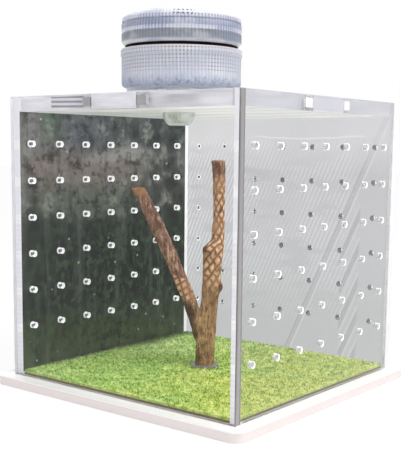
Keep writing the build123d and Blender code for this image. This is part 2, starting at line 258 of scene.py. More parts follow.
class Tree:
    """A node tree that is built one node at a time."""

    def __init__(self, nodes):
        self.nodes = nodes

    def add(self, kind, settings=None, inputs=None, output=0):
        """A new node with its settings and inputs; gives one of its outputs."""
        node = self.nodes.nodes.new(kind)
        for name, value in (settings or {}).items():
            if name == "stops":
                self._set_stops(node.color_ramp, value)
            else:
                setattr(node, name, value)
        for name, value in (inputs or {}).items():
            if isinstance(value, Wire):
                self.nodes.links.new(value.socket, node.inputs[name])
            else:
                node.inputs[name].default_value = value
        return Wire(self, node.outputs[output]) if node.outputs else node

    @staticmethod
    def _set_stops(ramp, stops):
        while len(ramp.elements) > 1:
            ramp.elements.remove(ramp.elements[-1])
        for index, (place, colour) in enumerate(stops):
            element = ramp.elements[0] if index == 0 else ramp.elements.new(place)
            element.position = place
            element.color = (*colour, 1.0)

    def blend(self, factor, first, second, kind="MIX"):
        """Two colours mixed by a factor."""
        return self.add(
            "ShaderNodeMix",
            {"data_type": "RGBA", "blend_type": kind},
            {0: factor, 6: opaque(first), 7: opaque(second)},
            output=2,
        )

    def layers(self, colour, *layers):
        """A colour with others laid over it in turn, each where its own mask is 1."""
        for mask, over in layers:
            colour = self.blend(mask, colour, over)
        return colour

    def gradient(self, value, *stops):
        """The colour at a value along a row of stops, each a place and a colour."""
        return self.add("ShaderNodeValToRGB", {"stops": stops}, {0: value})

    def turn_about(self, x, y):
        """The angle about the origin of a point at x and y, in radians."""
        return self.add("ShaderNodeMath", {"operation": "ARCTAN2"}, {0: y, 1: x})

    def parts(self, vector):
        """The x, y and z of a vector."""
        node = self.add("ShaderNodeSeparateXYZ", None, {0: vector}).socket.node
        return [Wire(self, socket) for socket in node.outputs]


class Finish(Tree):
    """A material whose patterns are read from Object coordinates."""

    def __init__(self, name):
        self.material = bpy.data.materials.new(name)
        self.material.use_nodes = True
        super().__init__(self.material.node_tree)
        self.nodes.nodes.clear()
        self.place = self.add("ShaderNodeTexCoord", output="Object")

    def cloud(self, scale, detail=3.0, roughness=0.55, vector=None):
        """Soft noise with features about 1/scale metres across."""
        values = {"Scale": scale, "Detail": detail, "Roughness": roughness}
        return self.add("ShaderNodeTexNoise", None, {"Vector": vector or self.place, **values})

    def stretched(self, scales, detail, roughness):
        """Noise that is scaled by a different amount along each axis."""
        place = self.add(
            "ShaderNodeVectorMath", {"operation": "MULTIPLY"}, {0: self.place, 1: scales}
        )
        return self.cloud(1.0, detail, roughness, place)

    def bump(self, height, depth):
        return self.add(
            "ShaderNodeBump", None, {"Height": height, "Distance": depth, "Strength": 1.0}
        )

    def surface(self, **inputs):
        """A Principled shader; names use _ for the spaces of its sockets."""
        named = {name.replace("_", " "): value for name, value in inputs.items()}
        named["Base Color"] = opaque(named["Base Color"])
        return self.add("ShaderNodeBsdfPrincipled", None, named)

    def finish(self, shader):
        self.add("ShaderNodeOutputMaterial", None, {"Surface": shader})
        return self.material

    def solid(self, **inputs):
        """The material with one Principled shader alone."""
        return self.finish(self.surface(**inputs))


def opaque(colour):
    """A plain colour with its fourth number; a wire stays as it is."""
    return colour if isinstance(colour, Wire) else (*colour[:3], 1.0)


# Materials of the clear pieces
def clear_for_lamps(finish, glass, tint):
    """Glass that bends what is seen through it, and lets the light of the room straight through."""
    path = finish.add("ShaderNodeLightPath", output="Is Shadow Ray")
    diffuse = Wire(finish, path.socket.node.outputs["Is Diffuse Ray"])
    open_side = finish.add("ShaderNodeBsdfTransparent", None, {"Color": opaque(tint)})
    return finish.add(
        "ShaderNodeMixShader", None, {0: path.most(diffuse), 1: glass, 2: open_side}
    )


def vent_place(along, height):
    """How far a point is along and up from the nearest vent hole's middle, in hole radii."""
    across = along / VENT_PITCH
    up = (height - (BASE_TOP + VENT_HEIGHTS[0])) / ROW_PITCH
    across = (across - across.rounded()) * (VENT_PITCH / VENT_RADIUS)
    up = (up - up.rounded()) * (ROW_PITCH / VENT_RADIUS)
    return across, up


def vent_mask(along, height):
    """1 on the walls of the vent holes of a panel, 0 on its faces."""
    across, up = vent_place(along, height)
    reach = (across * across + up * up) ** 0.5
    wide = abs(along).below((VENT_COLUMNS / 2) * VENT_PITCH)
    middle = BASE_TOP + sum(VENT_HEIGHTS) / 2
    tall = abs(height - middle).below(VENT_ROWS / 2 * ROW_PITCH)
    return reach.ramp(1.1, 1.02) * wide * tall


def cut_faces(along, half_length, z):
    """Masks of a wall's sawn ends and glued foot, and the frost on all of its cut faces."""
    ends = abs(along).above(half_length - SKIN)
    joint = z.below(FRONT_LOW.z + SKIN)
    frost = (ends * 0.85).most(z.above(BOX_TOP - SKIN) * 0.4).most(joint * 0.9)
    return ends, joint, frost


def clear_acrylic(finish, tint, frost, frost_colour, glow=NO_GLOW):
    """A sheet's shader: polished faces, with frost where a mask of that name is 1.

    The glow is painted light: an emission that stands in for the light that a sheet gathers and
    gives off where it is cut.
    """
    smears = finish.cloud(38.0, 4.0).ramp(0.42, 0.75)
    glass = finish.surface(
        Base_Color=tint,
        Roughness=smears * 0.012,
        IOR=1.49,
        Transmission_Weight=1.0,
        Specular_Tint=(0.1, 0.1, 0.1, 1.0),
    )
    frosted = finish.surface(
        Base_Color=frost_colour,
        Roughness=0.4,
        Specular_IOR_Level=0.3,
        Emission_Color=opaque(glow),
        Emission_Strength=1.0,
    )
    sheet = finish.add("ShaderNodeMixShader", None, {0: frost, 1: glass, 2: frosted})
    return finish.finish(clear_for_lamps(finish, sheet, LAMP_TINT))


def front_acrylic():
    """The plain front sheet, whose sawn right end is painted grey as shade, lighter towards the
    top, between darker painted rims.
    """
    finish = Finish("front_acrylic")
    x, y, z = finish.parts(finish.place)
    ends, joint, frost = cut_faces(x, FRONT_HIGH.x, z)
    # Painted shade on the sawn right end: lighter towards the top, with darker rims
    shaded = z.ramp(BASE_TOP, BOX_TOP) * 0.5 + 0.5
    rims = abs((y - FRONT_LOW.y) / (FRONT_HIGH.y - FRONT_LOW.y) - 0.5).ramp(0.2, 0.42)
    right = finish.blend(shaded, (0.42, 0.4, 0.38), (0.23, 0.22, 0.22))
    right = finish.blend(rims * 0.85, right, (0.13, 0.11, 0.11))
    ends_colour = finish.blend(x.above(0.0), (0.66, 0.66, 0.7), right)
    colour = finish.blend(ends, CUT_WHITE, ends_colour)
    return clear_acrylic(finish, (0.96, 0.96, 0.962), frost, colour)


def side_acrylic():
    """The vented side sheets, which lie along Y.

    Painted light lies on the walls of their holes, as white colour and a glow: along the top and
    bottom of each hole, at its far side near the sheet's right face, and at the left face on the
    sheet that has the film. Elsewhere that sheet's hole walls are painted darker as shade, its far
    sawn end has a painted glow, and the sawn ends of both sheets have painted light rows at the
    vent heights.
    """
    finish = Finish("side_acrylic")
    x, y, z = finish.parts(finish.place)
    across, up = vent_place(y, z)
    filmed = x.below(0.0)
    depth = RIGHT_HIGH.x - x - filmed * (RIGHT_HIGH.x - LEFT_HIGH.x)
    # Painted light on the hole walls: rails along their tops and bottoms, a lobe at the far side,
    # and a far rim on the filmed sheet
    rails = (abs(up) + filmed * 0.35).ramp(0.84, 0.94)
    lobe = across.above(0.0) * (depth - filmed * MM).span(0.55, 0.35)
    far_rim = across.below(0.0) * depth.span(1.7, 2) * filmed
    bright = rails.most(lobe).most(far_rim)
    holes = vent_mask(y, z)
    ends, joint, frost = cut_faces(y, LEFT_HIGH.y, z)
    frost = frost.most(holes * bright.most(0.85 - filmed * 0.15))
    middle = (BASE_TOP + BOX_TOP) / 2
    # Painted light rows on the sawn ends at the vent heights
    rows = abs(up + 0.3).ramp(1.6, 1.4) * abs(z - middle).below(0.4 * (BOX_TOP - BASE_TOP))
    seams = (z / SEAM_PITCH).from_whole().ramp(0.1, 0.05) * z.below(60.0 * MM)
    end_colour = finish.layers(
        (0.88, 0.875, 0.92), (rows * 0.7, WHITE), (seams * 0.25, (0.5, 0.5, 0.55))
    )
    # Frost colour: painted darker on the filmed sheet as shade, and white where the holes hold
    # painted light
    colour = finish.layers(
        (0.6, 0.6, 0.61),
        (filmed, (0.3, 0.3, 0.3)),
        (bright * holes, WHITE),
        (joint, CUT_WHITE),
        (ends, end_colour),
    )
    # Painted glow on the far end of the filmed sheet
    far_end = ends * y.above(0.0) * filmed
    glow = finish.layers(NO_GLOW, (bright * holes, PAINTED_HOLE_GLOW), (far_end, PAINTED_END_GLOW))
    return clear_acrylic(finish, SIDE_TINT, frost, colour, glow)


def back_acrylic():
    """The vented back sheet, with a grey tint as painted shade and painted light and shade on it: a
    faint hatch and streaks of reflected light, slanting bands of light and shade, a lighter top
    with a white arc, and shade in its vent holes. It is also darker and greener towards the bottom.

    The pattern is on the inner face alone, because on both it would cancel itself.
    """
    finish = Finish("back_acrylic")
    x, y, z = finish.parts(finish.place)
    inner = y.below(BACK_HIGH.y - 1.5 * MM)
    slant = x - z * BAND_SLOPE
    wander = finish.cloud(25.0, 2.0)
    # Painted reflections: a hatch of light lines, and fainter streaks across it
    hatch = (slant / HATCH_PITCH).from_whole().ramp(0.15, 0.35)
    streaks = (slant / HATCH_PITCH - x * 60.0).from_whole().ramp(0.1, 0.3)
    gaps = finish.stretched((40.0, 0, 160.0), 2.0, 0.5)
    hatched = wander.ramp(0.38, 0.5) * gaps.ramp(0.38, 0.5) * x.span(36, 28)
    hatched = hatched * z.span(92, 89) * z.span(12, 40)
    off_band = slant - BAND_PLACE
    short = ((slant - SHORT_BANDS_PLACE) / SHORT_BANDS_PITCH).from_whole()
    few = abs(x - SHORT_BANDS_MIDDLE).span(4.5, 3.5) * z.span(75, 62)
    # Painted slanting bands: shade along them, and the gleam, a painted highlight, beside them
    shade = abs(off_band).span(1.2, 0.9) * 0.5
    shade = shade.most(abs(off_band + 0.9 * MM).span(0.5, 0.2))
    shade = shade.most(short.ramp(0.2, 0.14) * few * 0.8)
    gleam = abs(off_band - 1.5 * MM).span(0.6, 0.2)
    gleam = gleam.most(short.ramp(0.2, 0.26) * short.ramp(0.36, 0.3) * few)
    pattern = finish.layers(
        BACK_SHADE_TINT,
        (hatch * hatched * 0.85, (0.86, 0.86, 0.88)),
        (streaks * wander.ramp(0.55, 0.4) * 0.35, (0.8, 0.8, 0.82)),
        (gleam * 0.6, (0.9, 0.9, 0.91)),
        (shade * 0.95, [c * 0.6 for c in BACK_SHADE_TINT]),
    )
    # Painted light: a lighter top, and a white wavy arc near it
    upper = z.span(78, 92) * (wander.ramp(0.3, 0.7) * 0.6 + 0.4)
    arc = abs(z - ARC_HEIGHT - (wander - 0.5) * 6.0 * MM).span(0.5, 0.2) * inner
    arc = arc * x.span(-16, -10) * x.span(38, 34)
    tint = finish.layers(
        BACK_SHADE_TINT, (inner, pattern), (upper * 0.85, (0.8, 0.8, 0.81)), (arc * 0.8, WHITE)
    )
    # Darker and greener towards the bottom
    lower = z.span(55, 25)
    tint = finish.blend(lower, tint, (0.92, 0.945, 0.92), "MULTIPLY")
    across, up = vent_place(x, z)
    deep = y - BACK_LOW.y
    # Painted shade in the middle of each vent hole's wall, with pale frost around it
    painted_hole_shade = across.below(-0.3) * abs(up).ramp(0.7, 0.5)
    painted_hole_shade = painted_hole_shade * deep.span(0.7, 0.9) * deep.span(2.3, 2)
    painted_hole_shade = painted_hole_shade * vent_mask(x, z)
    ends, joint, frost = cut_faces(x, BACK_HIGH.x, z)
    colour = finish.blend(painted_hole_shade, (0.9, 0.9, 0.94), (0.05, 0.05, 0.05))
    return clear_acrylic(finish, tint, frost.most(painted_hole_shade * 0.95), colour)


def lid_acrylic():
    """The lid: frosted sawn edges, painted dark marks along the front one, and dust underneath,
    shown as a painted sheen with a painted glow at grazing angles.
    """
    finish = Finish("lid_acrylic")
    x, y, z = finish.parts(finish.place)
    wall = LEFT_HIGH.y
    height = (z - LID_LOW.z) / (LID_HIGH.z - LID_LOW.z)
    inside = height.ramp(0.1, 0.18) * height.ramp(0.95, 0.87)
    front = y.below(0.0)
    # Painted dark marks: slot is a striped dark reflection, with a soft streak and the tab's
    # outline
    slot = abs(x - DARK_REFLECTION_PLACE).span(8.2, 7.6) * front
    lines = (height * 3.2 + x * 12.0).from_whole().ramp(0.16, 0.34)
    soft = abs(x - STREAK_PLACE).span(9, 4) * abs(height - 0.55).ramp(0.35, 0.1)
    tab = x.above(wall + 1.5 * MM)
    outline = abs(height - 0.5).ramp(0.3, 0.38)
    streak = slot * (lines * 0.85 + 0.15)
    streak = streak.most(soft * front * 0.35).most(tab * outline * 0.5)
    # The underside: dust shown as a painted white sheen at grazing angles with a painted glow,
    # streaked as if wiped
    under = z.below(LID_LOW.z + SKIN)
    wiped = finish.stretched((10.0, 90.0, 0), 3.0, 0.6).ramp(0.42, 0.55)
    dust_and_sheen_colour = finish.blend(wiped, (0.6, 0.6, 0.6), (0.88, 0.88, 0.88))
    mist = finish.stretched((40.0, 40.0, 300.0), 3.0, 0.5).ramp(0.35, 0.65)
    colour = finish.layers(
        (0.6, 0.595, 0.64),
        (mist, (0.88, 0.87, 0.92)),
        (tab * 0.8, (0.66, 0.65, 0.7)),
        (streak * inside * 0.85, (0.14, 0.14, 0.16)),
        (x.above(wall - 1.0 * MM) * 0.65, (0.48, 0.48, 0.52)),
        (under, dust_and_sheen_colour),
    )
    aslant = finish.add("ShaderNodeLayerWeight", None, {"Blend": 0.5}, output="Facing")
    edge = abs(x).most(abs(y)).above(wall - 0.4 * MM)
    frost = (edge * 0.85).most(under * aslant.ramp(0.8, 0.93) * 0.95)
    glow = finish.blend(under, NO_GLOW, PAINTED_UNDERSIDE_GLOW)
    return clear_acrylic(finish, (0.92, 0.92, 0.93), frost, colour, glow)


def moulded_clear(finish, tint, matt, haze):
    """Clear moulded plastic: part glass of one colour, part matt haze of another."""
    scuffs = finish.cloud(900.0, 3.0).ramp(0.5, 0.8)
    glass = finish.surface(
        Base_Color=tint,
        Roughness=scuffs * 0.06 + 0.04,
        IOR=1.49,
        Transmission_Weight=1.0,
        Specular_IOR_Level=0.5,
        Normal=finish.bump(finish.cloud(160.0, 2.0), 0.05 * MM),
    )
    cloudy = finish.surface(Base_Color=matt, Roughness=0.4, Specular_IOR_Level=0.4)
    wall = finish.add("ShaderNodeMixShader", None, {0: haze, 1: glass, 2: cloudy})
    return finish.finish(clear_for_lamps(finish, wall, (0.85, 0.86, 0.9)))


def clear_fitting():
    """The clear ring under the jar and the one round the branch's foot."""
    finish = Finish("clear_fitting")
    return moulded_clear(finish, (0.86, 0.88, 0.9), (0.75, 0.77, 0.8), 0.15)


def nozzle_plastic():
    """The feeding nozzle: clear with a greenish cast, and a pale line along its end."""
    finish = Finish("nozzle_plastic")
    x, y, z = finish.parts(finish.place)
    swirl = finish.cloud(260.0, 2.0, 0.6).ramp(0.4, 0.6)
    rim = z.ramp(NOZZLE_LOW.z + 1.0 * MM, NOZZLE_LOW.z + 0.4 * MM)
    matt = finish.layers(
        (0.5, 0.53, 0.42), (swirl, (0.86, 0.88, 0.8)), (rim * 0.8, (0.95, 0.95, 0.95))
    )
    return moulded_clear(finish, (0.9, 0.92, 0.86), matt, 0.35)


def round_port(finish):
    """The turn about the jar's axis, in whole turns, and the height."""
    x, y, z = finish.parts(finish.place)
    return finish.turn_about(x, y - PORT_Y) / math.tau, z


def jar_plastic():
    """The upper half: bluish, with darker bands of ribs and bright lines of painted highlight
    between them, painted shade in its rib grooves and thread rows, and air holes painted as dark
    dots.
    """
    finish = Finish("jar_plastic")
    turn, z = round_port(finish)
    level = z.ramp(GASKET_HIGH.z, JAR_HIGH.z)
    foot, light, dark = (0.95, 0.95, 0.98), (0.82, 0.83, 0.9), (0.27, 0.29, 0.31)
    mid, lilac = (0.36, 0.39, 0.5), (0.6, 0.61, 0.72)
    # Bands up the jar: darker bands, and bright lines of painted highlight
    bands = finish.gradient(
        level,
        (0.0, foot),
        (0.07, foot),
        (0.1, lilac),
        (0.14, dark),
        (0.36, dark),
        (0.4, light),
        (0.46, light),
        (0.5, mid),
        (0.66, mid),
        (0.69, (0.16, 0.17, 0.2)),
        (0.72, lilac),
        (0.76, light),
        (1.0, (0.9, 0.9, 0.94)),
    )
    patches = finish.cloud(80.0, 3.0, 0.6)
    groove = (turn * RIB_COUNT).from_whole() * 2
    ribbed = level.ramp(0.08, 0.12) * level.ramp(0.95, 0.9)
    rows = (level * 9.0).from_whole().ramp(0.35, 0.15) * level.ramp(0.72, 0.76)
    # Painted shade in the rib grooves, and along the thread rows
    shade = groove ** 2.0 * ribbed * patches.ramp(0.25, 0.6) * level.ramp(0.8, 0.7)
    shade = shade.most(groove.ramp(0.4, 0.8) * rows * 0.7 * ribbed)
    # Air holes painted as dark dots, the shade inside them
    air_turn = (turn + AIR_HOLE_TURN) * AIR_HOLE_COUNT
    air_row = (level - AIR_HOLE_LEVEL) * 9.0
    spot = (air_turn.from_whole() ** 2.0 + air_row.from_whole() ** 2.0) ** 0.5
    airy = abs(air_turn).below(2.1) * abs(air_row - 0.5).below(0.9)
    matt = finish.layers(
        bands,
        (patches.ramp(0.5, 0.62) * 0.45, (0.3, 0.36, 0.52)),
        (patches.ramp(0.44, 0.34) * 0.45, (0.72, 0.73, 0.76)),
        (shade * 0.85, (0.1, 0.11, 0.15)),
        (spot.ramp(0.3, 0.2) * airy * 0.9, (0.02, 0.02, 0.02)),
    )
    return moulded_clear(finish, finish.blend(0.5, matt, (0.9, 0.92, 1.0)), matt, 0.55)


def socket_plastic():
    """The lower half: paler, with painted shade in its rib grooves and the threads showing through
    the ribs as dotted rows of painted shade.
    """
    finish = Finish("socket_plastic")
    turn, z = round_port(finish)
    low = SOCKET_LOW.z
    groove = (turn * RIB_COUNT).from_whole() * 2
    patches = finish.cloud(75.0, 3.0, 0.6)
    coil = ((z - THREAD_START) / THREAD_PITCH * 2 - turn).from_whole()
    rows = coil.ramp(0.2, 0.08) * z.ramp(low + 4 * MM, low + 5.5 * MM)
    foot = z.ramp(low + 4.0 * MM, low + 2.2 * MM)
    flecks = finish.cloud(420.0, 3.0, 0.7).ramp(0.5, 0.68)
    # Painted shade in the rib grooves and along the thread's dotted rows
    shade = (groove ** 3.0 * 0.4).most(rows * groove.ramp(0.2, 0.6))
    shade = shade * patches.ramp(0.3, 0.62)
    rim = z.above(SOCKET_HIGH.z - 0.35 * MM) * patches.ramp(0.3, 0.5)
    matt = finish.layers(
        (0.54, 0.56, 0.64),
        (patches.ramp(0.35, 0.65), (0.76, 0.76, 0.79)),
        (shade * 0.95, (0.12, 0.12, 0.15)),
        (foot * 0.6, (0.42, 0.47, 0.6)),
        (foot * flecks * 0.75, (0.14, 0.16, 0.24)),
        (rim * 0.7, (0.8, 0.5, 0.4)),
    )
    tint = finish.blend(shade, (0.92, 0.93, 0.97), (0.4, 0.42, 0.48))
    return moulded_clear(finish, tint, matt, 0.55)


# Materials of the solid pieces
def white_acrylic():
    """The base plate: white on top, and painted darker and a little pinker round its sides, as
    shade.
    """
    finish = Finish("white_acrylic")
    x, y, z = finish.parts(finish.place)
    dust = finish.cloud(60.0, 5.0).ramp(0.55, 0.8)
    # The sides' colour, darker than the top's, is painted shade
    colour = finish.layers(
        (0.8, 0.73, 0.71),
        (z.above(BASE_TOP - 0.4 * MM), (0.93, 0.915, 0.905)),
        (dust * 0.3, (0.86, 0.82, 0.8)),
    )
    return finish.solid(
        Base_Color=colour,
        Roughness=0.22 + dust * 0.1,
        Coat_Weight=0.3,
        Normal=finish.bump(finish.cloud(700.0, 2.0), 0.01 * MM),
    )


def mottled_film():
    """A dark, blurred and mottled film: greys at the top, a brown band, greens below."""
    finish = Finish("mottled_film")
    x, y, z = finish.parts(finish.place)
    broad = finish.stretched((0, 34.0, 60.0), 2.0, 0.5)
    rough = finish.stretched((0, 110.0, 130.0), 4.0, 0.7)
    upright = finish.stretched((0, 200.0, 12.0), 4.0, 0.65)
    leaves = finish.cloud(300.0, 4.0, 0.7)
    along = y + (broad - 0.5) * 10.0 * MM + (rough - 0.5) * 8.0 * MM
    level = z + (broad - 0.5) * 8.0 * MM + (rough - 0.5) * 7.0 * MM
    colour = finish.gradient(
        level.ramp(BASE_TOP, BOX_TOP - 5 * MM),
        (0.0, (0.1, 0.13, 0.05)),
        (0.12, (0.04, 0.065, 0.02)),
        (0.25, (0.005, 0.014, 0.006)),
        (0.5, (0.008, 0.02, 0.01)),
        (0.6, (0.025, 0.04, 0.027)),
        (0.7, (0.12, 0.12, 0.1)),
        (0.85, (0.13, 0.14, 0.13)),
        (1.0, (0.09, 0.1, 0.1)),
    )
    for middle, height, wide, tall, strength, tone in FILM_PATCHES:
        off = (along - middle * MM) / (wide * MM)
        above = (level - height * MM) / (tall * MM)
        patch = (off * off + above * above) ** 0.5
        colour = finish.blend(patch.ramp(1.25, 0.55) * strength, colour, tone)
    high = z.span(52, 64)
    low = z.span(62, 50)
    glint = finish.add(
        "ShaderNodeTexVoronoi", None, {"Vector": finish.place, "Scale": 150.0}, "Distance"
    )
    colour = finish.layers(
        colour,
        (upright.ramp(0.52, 0.7) * 0.35, (0.2, 0.21, 0.19)),
        (upright.ramp(0.46, 0.3) * 0.7, (0.02, 0.024, 0.022)),
        (rough.ramp(0.52, 0.66) * high * 0.7, (0.3, 0.3, 0.27)),
        (rough.ramp(0.48, 0.36) * 0.8, (0.008, 0.012, 0.01)),
        (leaves.ramp(0.5, 0.62) * low * 0.7, (0.06, 0.115, 0.05)),
        (leaves.ramp(0.47, 0.36) * 0.7, (0.005, 0.009, 0.006)),
        (glint.ramp(0.09, 0.05) * 0.6, (0.6, 0.62, 0.6)),
    )
    return finish.solid(
        Base_Color=colour, Roughness=0.5 + leaves * 0.15, Specular_IOR_Level=0.15
    )


def turf_fibre():
    """Green turf in clumps, yellower towards the right corner, with the film's shadow painted dark
    beside it.
    """
    finish = Finish("turf_fibre")
    x, y, z = finish.parts(finish.place)
    fine = finish.cloud(900.0, 2.0, 0.6)
    clumps = finish.cloud(420.0, 3.0, 0.7).ramp(0.4, 0.6)
    patches = finish.cloud(38.0, 3.0)
    sunny = (patches + (x + y * 0.3) * 5.0).ramp(0.42, 0.72)
    cool = (patches - (x - y * 0.4) * 5.0).ramp(0.55, 0.85)
    green = finish.blend(clumps, (0.1, 0.3, 0.03), (0.62, 0.84, 0.25))
    yellow = finish.blend(clumps, (0.36, 0.46, 0.02), (0.92, 0.86, 0.24))
    pale = finish.blend(clumps, (0.34, 0.62, 0.24), (0.98, 1.0, 0.78))
    root = z.ramp(TURF_HIGH.z - 0.6 * MM, TURF_HIGH.z - 1.1 * MM)
    # Painted shadow of the film on the turf beside it
    film_shadow_reach = x - (patches - 0.5) * 16.0 * MM - y * 0.05
    colour = finish.layers(
        green,
        (sunny * 0.8, yellow),
        (cool * 0.7, pale),
        (fine.ramp(0.5, 0.6) * 0.6, (0.92, 0.95, 0.45)),
        (fine.ramp(0.48, 0.38) * 0.7, (0.07, 0.24, 0.02)),
        (root * 0.45, (0.42, 0.56, 0.1)),
        (film_shadow_reach.span(-40, -47.5) * 0.85, (0.035, 0.075, 0.02)),
    )
    return finish.solid(Base_Color=colour, Roughness=0.75, Specular_IOR_Level=0.2)


def turf_latex():
    finish = Finish("turf_latex")
    grain = finish.cloud(1200.0, 3.0)
    colour = finish.blend(grain, (0.13, 0.1, 0.05), (0.26, 0.2, 0.11))
    return finish.solid(
        Base_Color=colour, Roughness=0.85, Normal=finish.bump(grain, 0.1 * MM)
    )


def bark():
    """Brown bark with long grain and dark knots, worn to a tan net of diamonds on both limbs, and
    painted shade in the fork.
    """
    finish = Finish("bark")
    x, y, z = finish.parts(finish.place)
    x, y = x - BRANCH_FOOT.x, y - BRANCH_FOOT.y
    turn_x, turn_y = math.cos(FORK_TURN), math.sin(FORK_TURN)
    side, depth = x * turn_x + y * turn_y, y * turn_x - x * turn_y
    grain = finish.stretched((1000.0, 1000.0, 260.0), 5.0, 0.7)
    blotch = finish.cloud(150.0, 4.0, 0.65)
    specks = finish.cloud(2200.0, 2.0, 0.6)
    tone = grain * 0.5 + blotch * 0.3 + specks * 0.2
    trunk = finish.gradient(
        tone,
        (0.37, (0.05, 0.025, 0.012)),
        (0.45, (0.19, 0.1, 0.042)),
        (0.52, (0.36, 0.21, 0.1)),
        (0.61, (0.64, 0.43, 0.24)),
    )
    red = finish.gradient(
        tone,
        (0.38, (0.03, 0.015, 0.012)),
        (0.46, (0.13, 0.06, 0.038)),
        (0.52, (0.27, 0.15, 0.095)),
        (0.6, (0.58, 0.4, 0.28)),
    )
    left = side.span(-2.5, -5)

    # The net's lines wind both ways round the upright limb and slant across the left one
    upright = z.ramp(SHOULDER_HEIGHT - 1.5 * MM, SHOULDER_HEIGHT + 1.0 * MM)
    centre = upright * (UPRIGHT_SIDE - SHOULDER_SIDE) + SHOULDER_SIDE
    wander = finish.cloud(300.0, 2.0) - 0.5
    around = finish.turn_about(side - centre, depth) * (NET_COLUMNS / math.tau) + wander * 1.2
    up = z / NET_HEIGHT + wander * 0.8
    upright_line = (around + up).from_whole().least((around - up).from_whole())
    lean_across = side * math.cos(LEAN) + z * math.sin(LEAN)
    lean_along = z * math.cos(LEAN) - side * math.sin(LEAN)
    around = lean_across / PATCH_DIAMOND + wander * 0.5
    up = (lean_along / PATCH_DIAMOND + wander * 0.3) * 0.8
    patch_line = (around + up).from_whole().least((around - up).from_whole())
    line = left * (patch_line - upright_line) + upright_line
    scale = finish.gradient(
        line * 2.0,
        (0.0, (0.12, 0.05, 0.025)),
        (0.16, (0.25, 0.12, 0.06)),
        (0.3, (0.5, 0.28, 0.15)),
        (0.55, (0.72, 0.45, 0.26)),
        (0.9, (0.95, 0.72, 0.5)),
    )
    tan = finish.blend(blotch.ramp(0.45, 0.65) * 0.7, scale, (0.38, 0.2, 0.1))
    limb = side.span(-1.5, -0.5) * z.span(31, 42)
    worn = (finish.cloud(110.0, 3.0) + side * 30.0).ramp(0.38, 0.55)
    netted = limb * worn * z.ramp(BRANCH_TOP - 5.5 * MM, BRANCH_TOP - 7.5 * MM)
    ringed = abs(lean_along - PATCH_HEIGHT).span(3.7, 3.1) * left
    netted = netted.most(ringed)
    plain_top = z.ramp(BRANCH_TOP - 9 * MM, BRANCH_TOP - 6 * MM)
    # Painted shade in the fork between the limbs
    crotch_shade = left * lean_along.ramp(PATCH_HEIGHT - 3.5 * MM, PATCH_HEIGHT - 5 * MM)
    sawn = left * (z + (blotch - 0.5) * 3 * MM).ramp(LIMB_TOP - 3.8 * MM, LIMB_TOP - 2.2 * MM)
    colour = finish.layers(
        trunk,
        (left, red),
        (plain_top * 0.7, red),
        (netted * 0.92, tan),
        (crotch_shade * 0.75, (0.045, 0.022, 0.015)),
        (sawn * 0.5, (0.5, 0.25, 0.1)),
    )
    for knot_side, knot_height, reach, _ in KNOTS:
        off_side = side - knot_side * MM
        off_height = (z - knot_height * MM) * 0.7
        away = (off_side * off_side + off_height * off_height) ** 0.5
        near = (away + (grain - 0.5) * 1.6 * MM).ramp(reach * MM, reach * 0.35 * MM)
        colour = finish.blend(near * 0.75, colour, (0.07, 0.03, 0.016))
    cut = z.above(BRANCH_TOP - 0.5 * MM)
    relief = grain * 0.7 - line.ramp(0.15, 0.05) * netted * 0.3
    return finish.solid(
        Base_Color=finish.blend(cut * 0.7, colour, (0.33, 0.19, 0.12)),
        Roughness=0.72,
        Specular_IOR_Level=0.25,
        Normal=finish.bump(relief, 0.5 * MM),
    )


def nickel():
    """Nickel plate, painted nearly white and less metallic on the right side of the box, as painted
    light.
    """
    finish = Finish("nickel")
    x, y, z = finish.parts(finish.place)
    grain = finish.cloud(2000.0, 2.0)
    # Painted light: the magnets on the right are painted nearly white
    right = x.above(40.0 * MM)
    colour = finish.layers(
        (0.3, 0.3, 0.31), (grain, (0.42, 0.42, 0.43)), (right, (0.97, 0.97, 0.99))
    )
    return finish.solid(
        Base_Color=colour, Metallic=1.0 - right * 0.9, Roughness=0.18 + grain * 0.12
    )


def zinc_steel():
    finish = Finish("zinc_steel")
    grain = finish.cloud(1500.0, 2.0)
    colour = finish.blend(grain, (0.5, 0.5, 0.47), (0.63, 0.62, 0.58))
    return finish.solid(Base_Color=colour, Metallic=1.0, Roughness=0.3 + grain * 0.15)


def black_rubber():
    finish = Finish("black_rubber")
    grain = finish.cloud(2500.0, 3.0)
    return finish.solid(
        Base_Color=finish.blend(grain, (0.002, 0.002, 0.003), (0.005, 0.005, 0.006)),
        Roughness=0.8 + grain * 0.15,
        Specular_IOR_Level=0.05,
        Normal=finish.bump(grain, 0.02 * MM),
    )


# Meshes
def new_object(name, data):
    """An object in the scene, with its mesh, lamp or camera."""
    thing = bpy.data.objects.new(name, data)
    bpy.context.scene.collection.objects.link(thing)
    return thing


def mesh_of(name, shape):
    """A mesh made from a bmesh, which is used up."""
    mesh = bpy.data.meshes.new(name)
    shape.to_mesh(mesh)
    shape.free()
    return mesh


def evaluated_mesh(carrier):
    """The mesh of an object with its modifiers carried out; the object is removed."""
    evaluated = carrier.evaluated_get(bpy.context.evaluated_depsgraph_get())
    mesh = bpy.data.meshes.new_from_object(evaluated)
    bpy.data.objects.remove(carrier)
    return mesh


def mesh_piece(name, mesh, material, body, slot, *nodes):
    """A finished mesh as a piece that rides on a body, in place of the CAD nodes named."""
    piece = new_object(name, mesh)
    mesh.materials.clear()
    mesh.materials.append(material)
    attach(piece, body)
    if nodes:
        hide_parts(*nodes)
    return piece


